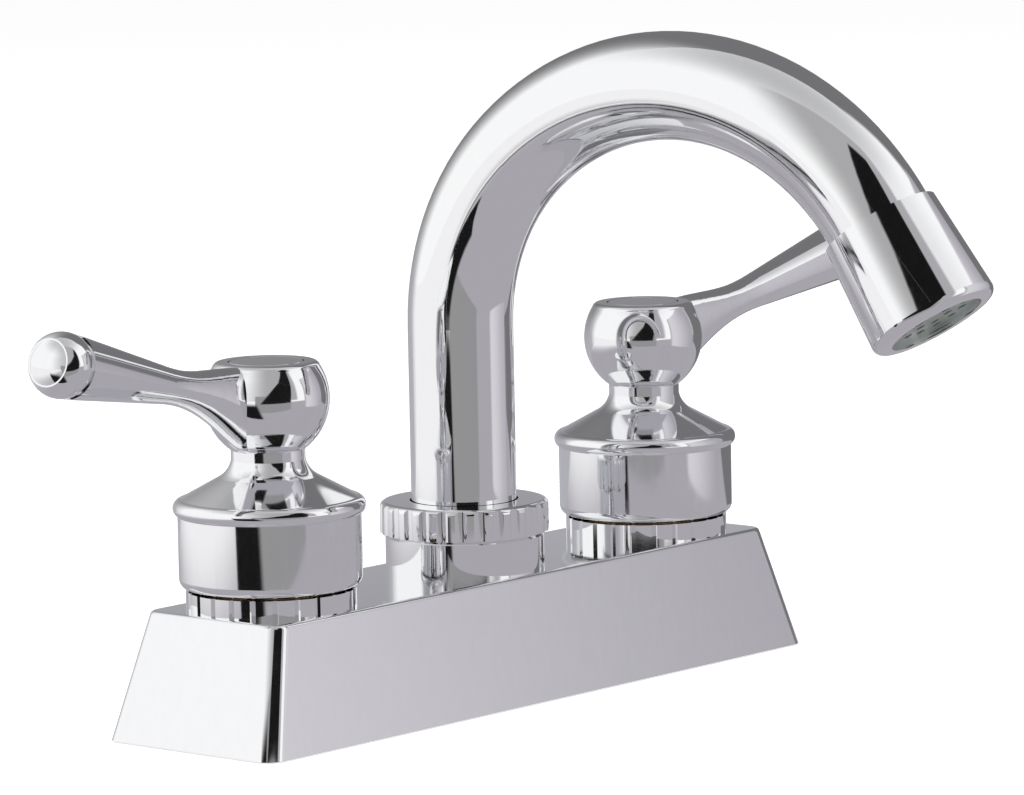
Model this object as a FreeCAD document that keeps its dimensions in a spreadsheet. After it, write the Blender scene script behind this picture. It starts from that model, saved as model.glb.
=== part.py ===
import FreeCAD, Part
import math
import os
import types
import Sketcher
from FreeCAD import Placement, Rotation, Vector

# Centerset bathroom faucet: two lever handles and a swivelling spout on one base
# for a deck with holes four inches apart. All lengths are in millimetres.
# The frame: +Z up, the user stands on the -Y side, and the origin is the centre
# of the base's underside, where it meets the deck.

# Driving sizes, one sheet cell each

SIZES = {
    # base cover, a hollow casting with sloping walls
    "shank_centres": 101.6,
    "base_height": 22.0,
    "base_end_run": 6.4,
    "base_side_run": 4.0,
    "cover_wall": 2.0,
    "cover_side_clearance": 0.3,
    "base_corner_radius": 3.4,
    "base_top_edge_radius": 0.9,
    "cover_hole_clearance": 0.25,
    # gasket inside the cover's rim
    "gasket_thickness": 3.0,
    "gasket_clearance": 0.3,
    # water way: two brass valve bodies, a brass hub and two cross tubes
    "valve_neck_rise": 7.0,
    "valve_wall": 3.2,
    "valve_neck_wall": 2.55,
    "shank_radius": 10.45,
    "shank_length": 48.0,
    "shank_chamfer": 1.0,
    "inlet_radius": 6.5,
    "seat_hole_radius": 4.2,
    "seat_floor": 4.0,
    "chamber_height": 8.0,
    "chamber_gap": 0.9,
    "cross_tube_radius": 4.75,
    "cross_tube_clearance": 0.25,
    "cross_tube_seat": 1.6,
    "spout_neck_wall": 1.3,
    "passage_radius": 2.8,
    "spout_neck_rise": 10.2,
    "socket_floor": 6.0,
    "flange_seat_depth": 3.0,
    "flange_overhang": 1.95,
    "thread_clearance": 0.05,
    # serrated nuts that clamp the cover to the valve necks
    "cover_nut_height": 3.2,
    "cover_nut_width": 2.8,
    "cover_nut_serrations": 24,
    "serration_depth": 0.5,
    # ceramic disc cartridges
    "sleeve_foot_gap": 0.3,
    "sleeve_wall": 1.2,
    "sleeve_step": 0.3,
    "sleeve_window_width": 6.0,
    "sleeve_window_margin": 0.2,
    "hex_height": 4.0,
    "hex_inset": 0.9,
    "gland_wall": 2.5,
    "gland_clearance": 1.6,
    "seal_thickness": 2.0,
    "seal_margin": 0.1,
    "seal_bore_radius": 4.6,
    "disc_radius": 7.4,
    "disc_clearance": 0.4,
    "disc_thickness": 3.0,
    "disc_port_radius": 4.9,
    "disc_web_width": 3.0,
    "disc_slot_width": 3.2,
    "disc_slot_depth": 1.4,
    "driver_thickness": 3.2,
    "driver_play": 0.3,
    "stem_radius": 4.0,
    "running_clearance": 0.05,
    "stem_groove_depth": 1.1,
    "stem_groove_width": 1.3,
    "o_ring_play": 0.06,
    "spline_radius": 3.9,
    "spline_depth": 0.45,
    "spline_teeth": 20,
    "spline_play_angle": 0.7,
    "spline_runout": 1.0,
    "stem_tap_radius": 1.7,
    "stem_tap_depth": 11.0,
    # handles: skirt, neck and head turned, lever arm drawn out of the head
    "skirt_gap": 0.3,
    "skirt_overhang": 1.1,
    "skirt_wall": 1.6,
    "skirt_rim_radius": 1.8,
    "skirt_height": 12.6,
    "bead_height": 2.9,
    "bead_radius": 1.55,
    "shoulder_inset": 0.6,
    "cone_top_radius": 8.6,
    "cone_rise": 3.6,
    "neck_radius": 6.4,
    "neck_fillet": 4.5,
    "neck_fillet_rise": 3.0,
    "head_radius": 10.8,
    "neck_length": 1.7,
    "head_flat_inset": 1.565,
    "head_edge_radius": 1.3,
    "head_edge_rise": 0.8,
    "handle_roof_rise": 4.0,
    "handle_socket_gap": 0.5,
    "handle_swing": 6.0,
    "lever_rise": 13.5,
    "lever_drop": 1.3,
    "lever_root_height": 15.2,
    "lever_root_width": 7.2,
    "lever_root_drop": 1.7,
    "lever_waist": 6.1,
    "lever_waist_at": 26.3,
    "lever_waist_arc": 40.0,
    "lever_flare": 5.1,
    "lever_end_at": 55.3,
    "knob_groove_depth": 0.8,
    "knob_groove_width": 0.8,
    "knob_ring_width": 4.9,
    "knob_ring_inset": 0.1,
    "knob_ring_arc": 5.0,
    "knob_ring_taper": 1.3,
    "knob_line_depth": 0.3,
    "knob_dome_rise": 1.3,
    "cap_radius": 6.4,
    "cap_thickness": 2.2,
    "cap_clearance": 0.15,
    "screw_recess_depth": 7.9,
    "screw_head_radius": 3.8,
    "screw_head_height": 2.6,
    "screw_radius": 1.6,
    "screw_length": 9.0,
    "screw_clearance": 0.3,
    # spout, its swivel joint and its nut
    "collar_height": 6.6,
    "collar_width": 1.5,
    "collar_edge": 0.6,
    "nut_height": 5.6,
    "nut_wall": 2.4,
    "nut_roof": 1.3,
    "nut_edge_radius": 1.1,
    "nut_flutes": 28,
    "nut_flute_depth": 0.4,
    "nut_flute_width": 2.2,
    "nut_gap": 0.1,
    "tail_radius": 8.0,
    "tail_length": 10.7,
    "tail_bore_radius": 5.8,
    "flange_thickness": 2.0,
    "tail_collar_length": 8.0,
    "o_ring_thickness": 1.05,
    "o_ring_groove_width": 1.5,
    "upper_o_ring_drop": 4.5,
    "lower_o_ring_drop": 8.5,
    "glide_ring_play": 0.05,
    "tube_radius": 9.35,
    "tube_wall": 1.25,
    "tube_clearance": 0.3,
    "spout_swing": 5.5,
    "spout_straight": 34.3,
    "first_bend_radius": 42.0,
    "first_bend_angle": 48.3,
    "second_bend_radius": 48.8,
    "second_bend_angle": 98.4,
    # outlet with its flow straightener
    "outlet_length": 19.9,
    "outlet_wall": 1.05,
    "outlet_flare": 1.2,
    "outlet_rim_radius": 1.6,
    "outlet_lip": 1.5,
    "outlet_lip_height": 1.2,
    "tube_engagement": 8.0,
    "washer_thickness": 1.6,
    "washer_overlap": 1.0,
    "aerator_inset": 2.4,
    "aerator_rim": 3.2,
    "aerator_clearance": 0.1,
    "aerator_wall": 1.2,
    "aerator_face": 1.4,
    "aerator_hole_radius": 0.8,
    "aerator_inner_holes": 6,
    "aerator_outer_holes": 12,
    # fixing below the deck
    "deck_thickness": 20.0,
    "shank_washer_radius": 16.0,
    "shank_washer_thickness": 1.5,
    "shank_nut_flats": 30.0,
    "shank_nut_height": 8.0,
}


# Sizes that know their formula

class Size:
    """A size: its number, and the sheet formula that it comes from."""

    def __init__(self, value, formula):
        self.value = float(value)
        self.formula = formula

    def __add__(self, other):
        return joined(self, "+", other, self.value + number(other))

    def __radd__(self, other):
        return joined(other, "+", self, number(other) + self.value)

    def __sub__(self, other):
        return joined(self, "-", other, self.value - number(other))

    def __rsub__(self, other):
        return joined(other, "-", self, number(other) - self.value)

    def __mul__(self, other):
        return joined(self, "*", other, self.value * number(other))

    def __rmul__(self, other):
        return joined(other, "*", self, number(other) * self.value)

    def __truediv__(self, other):
        return joined(self, "/", other, self.value / number(other))

    def __rtruediv__(self, other):
        return joined(other, "/", self, number(other) / self.value)

    def __neg__(self):
        return joined(0, "-", self, -self.value)


def number(thing):
    """The plain number of a size or of a number."""
    return thing.value if isinstance(thing, Size) else float(thing)


def formula(thing):
    """The sheet formula of a size or of a number."""
    return thing.formula if isinstance(thing, Size) else repr(float(thing))


def joined(left, sign, right, value):
    return Size(value, f"({formula(left)} {sign} {formula(right)})")


def root(area):
    """The square root of a size."""
    return Size(math.sqrt(area.value), f"sqrt({area.formula})")


def cosine(angle):
    return Size(math.cos(math.radians(number(angle))), f"cos({formula(angle)})")


def sine(angle):
    return Size(math.sin(math.radians(number(angle))), f"sin({formula(angle)})")


def tangent(angle):
    return Size(math.tan(math.radians(number(angle))), f"tan({formula(angle)})")


doc = FreeCAD.newDocument("centerset_faucet")
sheet = doc.addObject("Spreadsheet::Sheet", "Sizes")
size = types.SimpleNamespace()
for row, (alias, value) in enumerate(SIZES.items(), start=1):
    sheet.set(f"A{row}", alias)
    sheet.set(f"B{row}", str(value))
    sheet.setAlias(f"B{row}", alias)
    setattr(size, alias, Size(value, f"Sizes.{alias}"))
doc.recompute()

# Radii that follow from each other: cartridge, valve, cover nut and skirt, then the spout

sleeve_bore_radius = size.disc_radius + size.disc_clearance
sleeve_lower_radius = sleeve_bore_radius + size.sleeve_wall
sleeve_radius = sleeve_lower_radius + size.sleeve_step
cartridge_bore_radius = sleeve_radius + size.running_clearance
chamber_radius = sleeve_lower_radius + size.chamber_gap
seal_radius = size.disc_radius + size.seal_margin
driver_radius = size.disc_radius - size.driver_play
valve_body_radius = chamber_radius + size.valve_wall
valve_neck_radius = cartridge_bore_radius + size.valve_neck_wall
hex_flats = 2 * (valve_neck_radius - size.hex_inset)
gland_radius = size.stem_radius + size.gland_wall
handle_socket_radius = gland_radius + size.handle_socket_gap
cover_nut_radius = valve_neck_radius + size.cover_nut_width
skirt_radius = cover_nut_radius + size.skirt_overhang
shoulder_radius = skirt_radius - size.shoulder_inset
socket_radius = size.tail_radius + size.running_clearance
flange_seat_radius = size.tube_radius + size.flange_overhang
flange_radius = flange_seat_radius - size.tube_clearance
spout_neck_radius = flange_seat_radius + size.spout_neck_wall
collar_radius = spout_neck_radius + size.collar_width
nut_radius = spout_neck_radius + size.nut_wall
outlet_top_radius = size.tube_radius + size.outlet_wall
outlet_radius = outlet_top_radius + size.outlet_flare
aerator_radius = outlet_radius - size.aerator_inset
aerator_outer_ring_radius = aerator_radius - size.aerator_rim
aerator_ring_radius = aerator_outer_ring_radius / 2

# Heights and places that several pieces share

half_centres = size.shank_centres / 2
base_top_length = size.shank_centres + 2 * skirt_radius
base_top_depth = 2 * (valve_body_radius + size.cover_side_clearance + size.cover_wall)
base_length = base_top_length + 2 * size.base_end_run
base_depth = base_top_depth + 2 * size.base_side_run
cover_roof = size.base_height - size.cover_wall
seat_height = cover_roof - size.chamber_height
cross_tube_height = cover_roof - size.cross_tube_clearance - size.cross_tube_radius
valve_neck_top = size.base_height + size.valve_neck_rise
spout_neck_top = size.base_height + size.spout_neck_rise
flange_seat = spout_neck_top - size.flange_seat_depth
flange_top = flange_seat + size.flange_thickness
tube_bore_radius = size.tube_radius - size.tube_wall
disc_face = seat_height + size.seal_thickness + size.disc_thickness
driver_foot = disc_face + size.disc_thickness
sleeve_roof = driver_foot + size.driver_thickness + size.driver_play
hex_top = valve_neck_top + size.hex_height
skirt_rim = size.base_height + size.cover_nut_height + size.skirt_gap
skirt_top = skirt_rim + size.skirt_height
handle_roof = skirt_top + size.handle_roof_rise
gland_top = handle_roof - size.gland_clearance
shoulder = skirt_top + size.bead_height
cone_top = shoulder + size.cone_rise
neck_foot = cone_top + size.neck_fillet_rise
neck_end = neck_foot + size.neck_length
head_square = size.head_radius * size.head_radius
flat_radius = size.head_radius - size.head_flat_inset
head_height = neck_end + root(head_square - size.neck_radius * size.neck_radius)
flat_height = head_height + root(head_square - flat_radius * flat_radius)
head_top = flat_height + size.head_edge_rise
lever_height = head_height - size.lever_drop
cap_floor = head_top - size.cap_thickness
screw_seat = head_top - size.cap_thickness - size.screw_recess_depth
spline_top = screw_seat - size.screw_clearance
nut_foot = size.base_height + size.collar_height + size.nut_gap
nut_top = nut_foot + size.nut_height
nut_ceiling = nut_top - size.nut_roof
washer_seat = size.tube_engagement
aerator_seat = washer_seat + size.washer_thickness
bend_angle = size.first_bend_angle + size.second_bend_angle
quarter_turn = 90
spout_turn = size.spout_swing - quarter_turn

# A cut starts this far outside the surface that it opens, and takes at least this volume away

past = 1.0
least_cut = 0.01

# Two heights closer than this are the same

same_height = 1e-4


# Building blocks

def new_body(label):
    """An empty body for one piece, with its own name."""
    body = doc.addObject("PartDesign::Body", label)
    body.Label = label
    return body


def origin_plane(body, role):
    return [item for item in body.Origin.OriginFeatures if item.Role == role][0]


def bind(thing, path, value):
    """Tie one property to the sheet."""
    thing.setExpression(path, formula(value))


def new_sketch(body, label, role, height=0, slope=0, turn_axis=Vector(0, 0, 1), rise=0):
    """A sketch on an origin plane: lifted off it by height, moved up by rise, tilted by slope."""
    sketch = body.newObject("Sketcher::SketchObject", label)
    sketch.AttachmentSupport = [(origin_plane(body, role), "")]
    sketch.MapMode = "FlatFace"
    start = Vector(0, number(rise), number(height))
    sketch.AttachmentOffset = Placement(start, Rotation(turn_axis, number(slope) or 0.0))
    if isinstance(rise, Size):
        bind(sketch, "AttachmentOffset.Base.y", rise)
    if isinstance(height, Size):
        bind(sketch, "AttachmentOffset.Base.z", height)
    if isinstance(slope, Size):
        bind(sketch, "AttachmentOffset.Rotation.Angle", slope)
    return sketch


def fix_point(sketch, edge, end, x, y):
    """Hold one end of an edge at x, y."""
    across = sketch.addConstraint(Sketcher.Constraint("DistanceX", -1, 1, edge, end, number(x)))
    bind(sketch, f"Constraints[{across}]", x)
    upward = sketch.addConstraint(Sketcher.Constraint("DistanceY", -1, 1, edge, end, number(y)))
    bind(sketch, f"Constraints[{upward}]", y)


def arc_between(first, last, radius):
    """The short arc from first to last: a positive radius turns left, a negative one right."""
    chord = last - first
    reach = abs(radius)
    middle = (first + last) * 0.5
    leftward = Vector(-chord.y, chord.x, 0).normalize()
    side = 1 if radius > 0 else -1
    centre = middle + leftward * side * math.sqrt(reach ** 2 - (chord.Length / 2) ** 2)
    start, stop = (first, last) if radius > 0 else (last, first)
    from_angle = math.atan2(start.y - centre.y, start.x - centre.x)
    to_angle = math.atan2(stop.y - centre.y, stop.x - centre.x)
    circle = Part.Circle(centre, Vector(0, 0, 1), reach)
    return Part.ArcOfCircle(circle, from_angle, to_angle)


def outline(sketch, points):
    """A closed outline. A point is x, y, and a radius where an arc leads to it."""
    corners = [Vector(number(point[0]), number(point[1]), 0) for point in points]
    ends = []
    for index, point in enumerate(points):
        first = corners[index - 1]
        if len(point) == 3:
            edge = sketch.addGeometry(arc_between(first, corners[index], number(point[2])))
            ends.append((edge, 1, 2) if number(point[2]) > 0 else (edge, 2, 1))
            held = sketch.addConstraint(Sketcher.Constraint("Radius", edge, abs(number(point[2]))))
            bind(sketch, f"Constraints[{held}]", point[2] if number(point[2]) > 0 else -point[2])
        else:
            edge = sketch.addGeometry(Part.LineSegment(first, corners[index]))
            ends.append((edge, 1, 2))
    for index, point in enumerate(points):
        edge, _, finish = ends[index]
        following, start, _ = ends[(index + 1) % len(points)]
        sketch.addConstraint(Sketcher.Constraint("Coincident", edge, finish, following, start))
        fix_point(sketch, edge, finish, point[0], point[1])
    return sketch


def ring_outline(inner, outer, bottom, top):
    """The section of a plain ring."""
    return [(inner, bottom), (outer, bottom), (outer, top), (inner, top)]


def turned(body, label, points, sketch=None, axis="V_Axis"):
    """A turned form about the body's upright axis, or about another axis of its sketch."""
    sketch = sketch or new_sketch(body, label + "_section", "XZ_Plane")
    outline(sketch, points)
    feature = body.newObject("PartDesign::Revolution", label)
    feature.Profile = sketch
    feature.ReferenceAxis = (sketch, [axis])
    feature.Angle = 360
    doc.recompute()
    return feature


def checked_cut(body, before, label):
    """Make sure that a cut took material away."""
    doc.recompute()
    if body.Shape.Volume > before - least_cut:
        raise RuntimeError(f"{label} cuts nothing")


def turned_out(body, label, points, sketch=None, axis="V_Axis"):
    """A turned cut about the body's upright axis, or about another axis of its sketch."""
    doc.recompute()
    before = body.Shape.Volume
    sketch = sketch or new_sketch(body, label + "_section", "XZ_Plane")
    outline(sketch, points)
    feature = body.newObject("PartDesign::Groove", label)
    feature.Profile = sketch
    feature.ReferenceAxis = (sketch, [axis])
    feature.Angle = 360
    checked_cut(body, before, label)
    return feature


def padded(body, label, sketch, length, midplane=False):
    feature = body.newObject("PartDesign::Pad", label)
    feature.Profile = sketch
    feature.Midplane = midplane
    bind(feature, "Length", length)
    doc.recompute()
    return feature


def pocketed(body, label, sketch, length, midplane=False, against=False):
    """A pocket of a sketch, along the sketch's normal if against is set."""
    doc.recompute()
    before = body.Shape.Volume
    feature = body.newObject("PartDesign::Pocket", label)
    feature.Profile = sketch
    feature.Midplane = midplane
    feature.Reversed = against
    bind(feature, "Length", length)
    checked_cut(body, before, label)
    return feature


def circle_in(sketch, x, y, radius):
    """One circle of a sketch."""
    centre = Vector(number(x), number(y), 0)
    edge = sketch.addGeometry(Part.Circle(centre, Vector(0, 0, 1), number(radius)))
    fix_point(sketch, edge, 3, x, y)
    held = sketch.addConstraint(Sketcher.Constraint("Radius", edge, number(radius)))
    bind(sketch, f"Constraints[{held}]", radius)
    return sketch


def rectangle_in(sketch, half_x, half_y, middle_x=0, middle_y=0):
    """One rectangle of a sketch about its middle."""
    return outline(sketch, [
        (middle_x - half_x, middle_y - half_y),
        (middle_x + half_x, middle_y - half_y),
        (middle_x + half_x, middle_y + half_y),
        (middle_x - half_x, middle_y + half_y),
    ])


def hexagon_in(sketch, flats):
    """A hexagon of a sketch, by the distance across its flats."""
    corner = flats / (2 * cosine(30))
    return outline(sketch, [(corner * cosine(60 * k), corner * sine(60 * k)) for k in range(6)])


def ellipse_in(sketch, middle_y, half_height, half_width):
    """An upright ellipse of a sketch."""
    top = Vector(0, number(middle_y + half_height), 0)
    side = Vector(-number(half_width), number(middle_y), 0)
    edge = sketch.addGeometry(Part.Ellipse(top, side, Vector(0, number(middle_y), 0)))
    sketch.exposeInternalGeometry(edge)
    long_axis = edge + 1
    short_axis = edge + 2
    fix_point(sketch, edge, 3, 0, middle_y)
    sketch.addConstraint(Sketcher.Constraint("Vertical", long_axis))
    for line, half in ((long_axis, half_height), (short_axis, half_width)):
        held = sketch.addConstraint(Sketcher.Constraint("Distance", line, 2 * number(half)))
        bind(sketch, f"Constraints[{held}]", 2 * half)
    return sketch


def lofted(body, label, sketches):
    """A smooth loft through sketches, first to last."""
    feature = body.newObject("PartDesign::AdditiveLoft", label)
    feature.Profile = sketches[0]
    feature.Sections = sketches[1:]
    doc.recompute()
    return feature


def repeated(body, label, feature, count):
    """The feature repeated around the body's upright axis."""
    pattern = body.newObject("PartDesign::PolarPattern", label)
    pattern.Originals = [feature]
    pattern.Axis = (origin_plane(body, "Z_Axis"), [""])
    pattern.Angle = 360
    bind(pattern, "Occurrences", count)
    body.Tip = pattern
    doc.recompute()
    return pattern


def mirrored(body, label, feature):
    """The feature mirrored from the right half to the left half."""
    mirror = body.newObject("PartDesign::Mirrored", label)
    mirror.Originals = [feature]
    mirror.MirrorPlane = (origin_plane(body, "YZ_Plane"), [""])
    body.Tip = mirror
    doc.recompute()
    return mirror


def rounded(body, label, feature, radius, chosen):
    """A fillet on the edges of a feature that chosen picks."""
    doc.recompute()
    names = [f"Edge{i}" for i, edge in enumerate(feature.Shape.Edges, start=1) if chosen(edge)]
    fillet = body.newObject("PartDesign::Fillet", label)
    fillet.Base = (feature, names)
    bind(fillet, "Radius", radius)
    doc.recompute()
    return fillet


def bevelled(body, label, feature, width, chosen):
    """A chamfer on the edges of a feature that chosen picks."""
    doc.recompute()
    names = [f"Edge{i}" for i, edge in enumerate(feature.Shape.Edges, start=1) if chosen(edge)]
    chamfer = body.newObject("PartDesign::Chamfer", label)
    chamfer.Base = (feature, names)
    bind(chamfer, "Size", width)
    doc.recompute()
    return chamfer


def lies_at(edge, height):
    """True for an edge that lies in the level plane at height."""
    box = edge.BoundBox
    level = number(height)
    return abs(box.ZMin - level) < same_height and abs(box.ZMax - level) < same_height


def stands(edge):
    """True for an edge of the base that climbs from its foot to its top."""
    return edge.BoundBox.ZLength > number(size.base_height) / 2


def place(body, x=0, turn=0):
    """Set a body at x, turned about its upright axis."""
    body.setExpression(
        "Placement",
        f"create(<<placement>>; create(<<vector>>; {formula(x)}; 0; 0);"
        f" create(<<rotation>>; create(<<vector>>; 0; 0; 1); {formula(turn)}))",
    )
    doc.recompute()


def place_at_outlet(body):
    """Set a body on the spout's end, with its own axis along the tube's last stretch."""
    first = size.first_bend_radius
    last = size.second_bend_radius
    reach = first * (1 - cosine(size.first_bend_angle))
    reach = reach + last * (cosine(size.first_bend_angle) - cosine(bend_angle))
    height = flange_top + size.spout_straight + first * sine(size.first_bend_angle)
    height = height + last * (sine(bend_angle) - sine(size.first_bend_angle))
    body.setExpression(
        "Placement",
        f"create(<<placement>>; create(<<vector>>; 0; 0; 0);"
        f" create(<<rotation>>; create(<<vector>>; 0; 0; 1); {formula(spout_turn)}))"
        f" * create(<<placement>>; create(<<vector>>; {formula(reach)}; 0; {formula(height)});"
        f" create(<<rotation>>; create(<<vector>>; 0; 1; 0); {formula(bend_angle)}))",
    )
    doc.recompute()


# Base

def base_half(full, top, height):
    """Half a side of the tapered base at a height."""
    return (full - (full - top) * (height / size.base_height)) / 2


def base_wedge(body, label, bottom, top, inset, kind="Additive"):
    """A block between two heights, its sides drawn in from the base's outer walls."""
    doc.recompute()
    before = body.Shape.Volume if kind == "Subtractive" else 0
    wedge = body.newObject(f"PartDesign::{kind}Wedge", label)
    wedge.AttachmentSupport = [(origin_plane(body, "XY_Plane"), "")]
    wedge.MapMode = "FlatFace"
    wedge.AttachmentOffset = Placement(Vector(0, 0, 0), Rotation(Vector(1, 0, 0), quarter_turn))
    low_length = base_half(base_length, base_top_length, bottom) - inset
    low_depth = base_half(base_depth, base_top_depth, bottom) - inset
    top_length = base_half(base_length, base_top_length, top) - inset
    top_depth = base_half(base_depth, base_top_depth, top) - inset
    wedge.Xmin, wedge.Xmax = -low_length.value, low_length.value
    wedge.Zmin, wedge.Zmax = -low_depth.value, low_depth.value
    wedge.X2min, wedge.X2max = -top_length.value, top_length.value
    wedge.Z2min, wedge.Z2max = -top_depth.value, top_depth.value
    wedge.Ymin, wedge.Ymax = number(bottom), number(top)
    bind(wedge, "Xmin", -low_length)
    bind(wedge, "Xmax", low_length)
    bind(wedge, "Zmin", -low_depth)
    bind(wedge, "Zmax", low_depth)
    bind(wedge, "X2min", -top_length)
    bind(wedge, "X2max", top_length)
    bind(wedge, "Z2min", -top_depth)
    bind(wedge, "Z2max", top_depth)
    bind(wedge, "Ymin", bottom)
    bind(wedge, "Ymax", top)
    if kind == "Subtractive":
        checked_cut(body, before, label)
    doc.recompute()
    return wedge


def make_base_cover():
    """The tapered chrome cover: rounded upright corners, hollow below, three holes in its top."""
    body = new_body("base_cover")
    block = base_wedge(body, "cover_block", 0, size.base_height, 0)
    corners = rounded(body, "cover_corners", block, size.base_corner_radius, stands)
    rounded(body, "cover_top_edge", corners, size.base_top_edge_radius,
            lambda edge: lies_at(edge, size.base_height))
    base_wedge(body, "cavity", 0, cover_roof, size.cover_wall, kind="Subtractive")
    holes = new_sketch(body, "cover_holes_sketch", "XY_Plane", height=cover_roof - past)
    valve_hole = valve_neck_radius + size.cover_hole_clearance
    circle_in(holes, half_centres, 0, valve_hole)
    circle_in(holes, -half_centres, 0, valve_hole)
    circle_in(holes, 0, 0, spout_neck_radius + size.cover_hole_clearance)
    pocketed(body, "cover_holes", holes, size.cover_wall + 2 * past, against=True)
    return body


def make_base_gasket():
    """The foam gasket inside the cover's rim, with a hole for each shank."""
    body = new_body("base_gasket")
    inset = size.cover_wall + size.gasket_clearance
    base_wedge(body, "gasket_plate", 0, size.gasket_thickness, inset)
    holes = new_sketch(body, "gasket_holes_sketch", "XY_Plane", height=-past)
    shank_hole = size.shank_radius + size.cover_hole_clearance
    circle_in(holes, half_centres, 0, shank_hole)
    circle_in(holes, -half_centres, 0, shank_hole)
    pocketed(body, "gasket_holes", holes, size.gasket_thickness + 2 * past, against=True)
    return body


# Water way

def make_valve_body(side, x, turn):
    """A brass valve body: threaded shank, chamber with a raised seat, threaded neck."""
    body = new_body(f"{side}_valve_body")
    foot = -size.shank_length
    chamfer = size.shank_chamfer
    turned(body, f"{side}_valve_form", [
        (0, foot),
        (size.shank_radius - chamfer, foot),
        (size.shank_radius, foot + chamfer),
        (size.shank_radius, size.gasket_thickness),
        (valve_body_radius, size.gasket_thickness),
        (valve_body_radius, cover_roof),
        (valve_neck_radius, cover_roof),
        (valve_neck_radius, valve_neck_top),
        (0, valve_neck_top),
    ])
    seat_underside = seat_height - size.seat_floor
    chamber_top = seat_height + size.chamber_height
    turned_out(body, f"{side}_valve_bore", [
        (0, foot - past),
        (size.inlet_radius, foot - past),
        (size.inlet_radius, seat_underside),
        (size.seat_hole_radius, seat_underside),
        (size.seat_hole_radius, seat_height),
        (chamber_radius, seat_height),
        (chamber_radius, chamber_top),
        (cartridge_bore_radius, chamber_top),
        (cartridge_bore_radius, valve_neck_top + past),
        (0, valve_neck_top + past),
    ])
    seat_end = valve_body_radius - size.cross_tube_seat
    seat = new_sketch(body, f"{side}_tube_seat_sketch", "YZ_Plane", height=-seat_end)
    circle_in(seat, 0, cross_tube_height, size.cross_tube_radius + size.thread_clearance)
    pocketed(body, f"{side}_tube_seat", seat, valve_body_radius)
    passage = new_sketch(body, f"{side}_passage_sketch", "YZ_Plane", height=-size.seat_hole_radius)
    circle_in(passage, 0, cross_tube_height, size.passage_radius)
    pocketed(body, f"{side}_passage", passage, valve_body_radius)
    place(body, x, turn)
    return body


def make_spout_hub():
    """The brass hub under the spout: two tube seats, and a stepped bore for the spout's tail."""
    body = new_body("spout_hub")
    turned(body, "hub_form", [
        (0, size.gasket_thickness),
        (valve_body_radius, size.gasket_thickness),
        (valve_body_radius, cover_roof),
        (spout_neck_radius, cover_roof),
        (spout_neck_radius, spout_neck_top),
        (0, spout_neck_top),
    ])
    turned_out(body, "hub_bore", [
        (0, size.socket_floor),
        (socket_radius, size.socket_floor),
        (socket_radius, flange_seat),
        (flange_seat_radius, flange_seat),
        (flange_seat_radius, spout_neck_top + past),
        (0, spout_neck_top + past),
    ])
    passage = new_sketch(body, "hub_passage_sketch", "YZ_Plane")
    circle_in(passage, 0, cross_tube_height, size.passage_radius)
    pocketed(body, "hub_passage", passage, 4 * valve_body_radius, midplane=True)
    seat_end = valve_body_radius - size.cross_tube_seat
    seat = new_sketch(body, "hub_seat_sketch", "YZ_Plane", height=seat_end)
    circle_in(seat, 0, cross_tube_height, size.cross_tube_radius + size.thread_clearance)
    cut = pocketed(body, "hub_seat", seat, valve_body_radius, against=True)
    mirrored(body, "other_hub_seat", cut)
    return body


def make_cross_tube(side, turn):
    """The copper tube from the hub to a valve body, brazed into a seat at each end."""
    body = new_body(f"{side}_cross_tube")
    seat_end = valve_body_radius - size.cross_tube_seat
    section = new_sketch(body, f"{side}_cross_tube_sketch", "YZ_Plane", height=seat_end)
    circle_in(section, 0, cross_tube_height, size.cross_tube_radius)
    circle_in(section, 0, cross_tube_height, size.passage_radius)
    padded(body, f"{side}_cross_tube_form", section, half_centres - 2 * seat_end)
    place(body, 0, turn)
    return body


def make_cover_nut(side, x):
    """The serrated ring nut on a valve neck, which clamps the cover."""
    body = new_body(f"{side}_cover_nut")
    bottom = size.base_height
    top = bottom + size.cover_nut_height
    inner = valve_neck_radius + size.thread_clearance
    turned(body, f"{side}_ring", ring_outline(inner, cover_nut_radius, bottom, top))
    notch = new_sketch(body, f"{side}_serration_sketch", "XY_Plane", height=bottom - past)
    depth = size.serration_depth
    beyond = cover_nut_radius + depth
    outline(notch, [(cover_nut_radius - depth, 0), (beyond, -2 * depth), (beyond, 2 * depth)])
    cut = pocketed(body, f"{side}_serration", notch, size.cover_nut_height + 2 * past, against=True)
    repeated(body, f"{side}_serrations", cut, size.cover_nut_serrations)
    place(body, x)
    return body


# Cartridges

def make_seat_seal(side, x):
    """The rubber seal between the seat and the fixed disc."""
    body = new_body(f"{side}_seat_seal")
    top = seat_height + size.seal_thickness
    turned(body, f"{side}_seal_ring",
           ring_outline(size.seal_bore_radius, seal_radius, seat_height, top))
    place(body, x)
    return body


def make_fixed_disc(side, x):
    """The lower ceramic disc: two ports, one each side of a web."""
    body = new_body(f"{side}_fixed_disc")
    foot = seat_height + size.seal_thickness
    turned(body, f"{side}_fixed_blank", ring_outline(0, size.disc_radius, foot, disc_face))
    ports = new_sketch(body, f"{side}_ports_sketch", "XY_Plane", height=foot - past)
    edge = size.disc_web_width / 2
    rim = root(size.disc_port_radius * size.disc_port_radius - edge * edge)
    outline(ports, [(edge, -rim), (edge, rim, -size.disc_port_radius)])
    outline_second_port(ports, edge, rim)
    pocketed(body, f"{side}_ports", ports, size.disc_thickness + 2 * past, against=True)
    place(body, x)
    return body


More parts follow.
